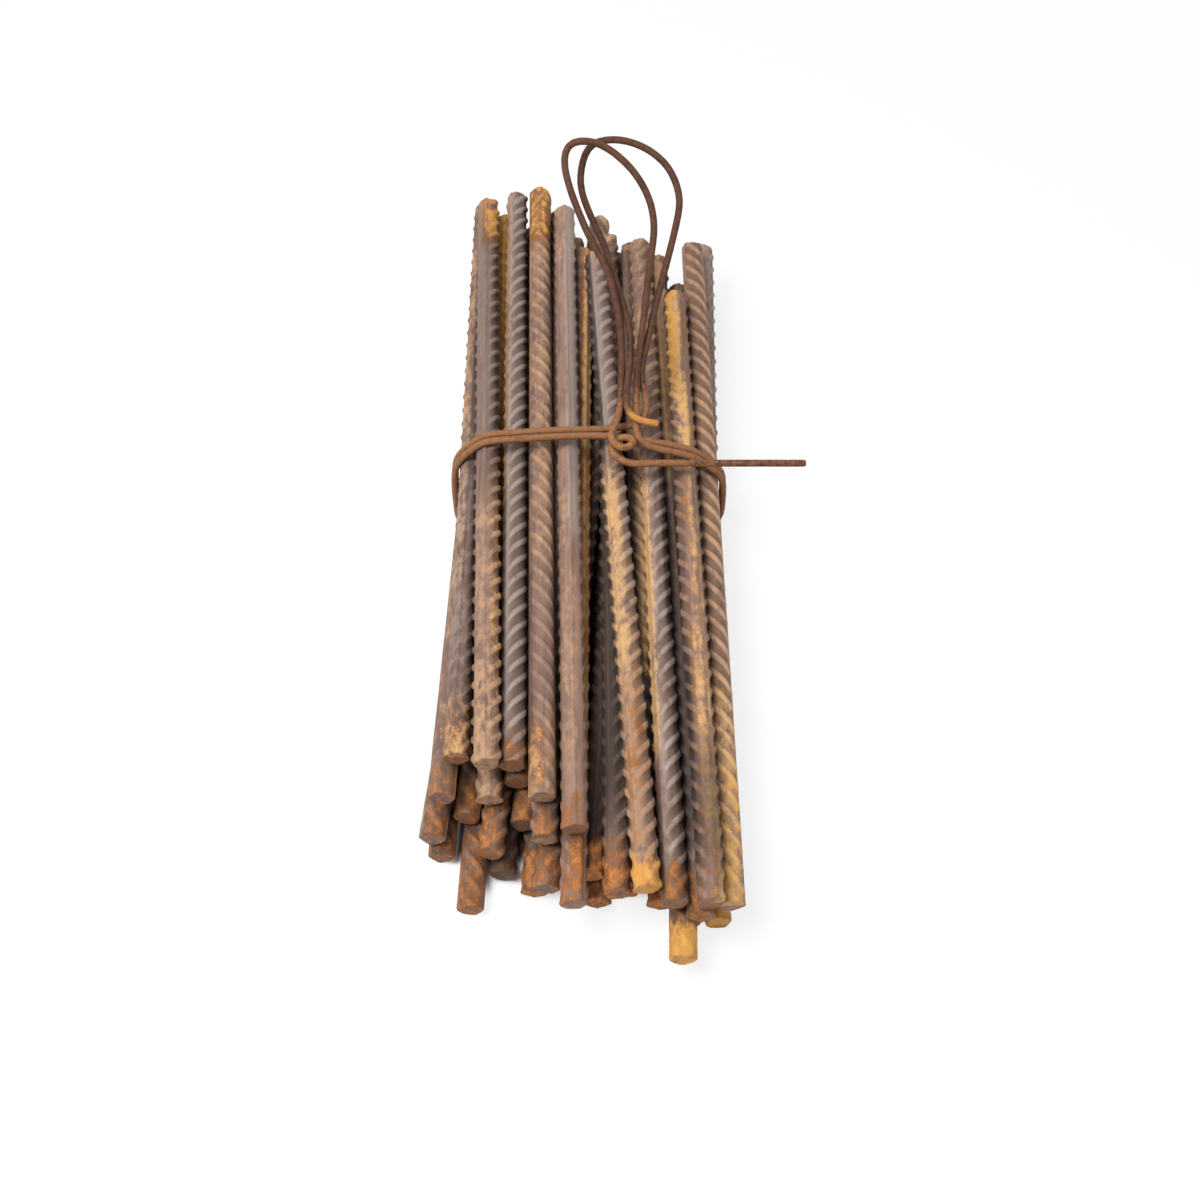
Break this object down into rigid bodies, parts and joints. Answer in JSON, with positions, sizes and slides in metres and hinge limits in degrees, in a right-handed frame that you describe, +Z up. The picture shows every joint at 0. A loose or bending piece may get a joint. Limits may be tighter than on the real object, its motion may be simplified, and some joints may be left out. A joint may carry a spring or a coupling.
{
  "type": "rebar bundle",
  "caption": "Bundle of short ribbed steel reinforcing bars lying on the floor, tied round the middle with a doubled wire twisted into raised loops.",
  "frame": {"origin": "middle of the bundle's footprint, on the floor", "axes": "+Z up from the floor; +Y along the bars towards the raised loops of the tie wire, with the uneven near ends at -Y; +X to the side of the wire's straight free end"},
  "size_m": [0.1802, 0.463, 0.1561],
  "materials": {
    "rusted_bar": "weathered hot-rolled steel with mill scale and patchy orange rust, matte",
    "rusted_wire": "soft annealed tie wire, evenly rusted, matte"
  },
  "bodies": {
    "root": {"bar_01": "rusted_bar", "bar_02": "rusted_bar", "bar_03": "rusted_bar", "bar_04": "rusted_bar", "bar_05": "rusted_bar", "bar_06": "rusted_bar", "bar_07": "rusted_bar", "bar_08": "rusted_bar", "bar_09": "rusted_bar", "bar_10": "rusted_bar", "bar_11": "rusted_bar", "bar_12": "rusted_bar", "bar_13": "rusted_bar", "bar_14": "rusted_bar", "bar_15": "rusted_bar", "bar_16": "rusted_bar", "bar_17": "rusted_bar", "bar_18": "rusted_bar", "bar_19": "rusted_bar", "bar_20": "rusted_bar", "bar_21": "rusted_bar", "bar_22": "rusted_bar", "bar_23": "rusted_bar", "bar_24": "rusted_bar", "bar_25": "rusted_bar", "bar_26": "rusted_bar", "bar_27": "rusted_bar", "bar_28": "rusted_bar", "bar_29": "rusted_bar", "bar_30": "rusted_bar", "bar_31": "rusted_bar", "bar_32": "rusted_bar", "bar_33": "rusted_bar", "bar_34": "rusted_bar", "bar_35": "rusted_bar", "bar_36": "rusted_bar", "tie_wire": "rusted_wire"}
  },
  "joints": []
}
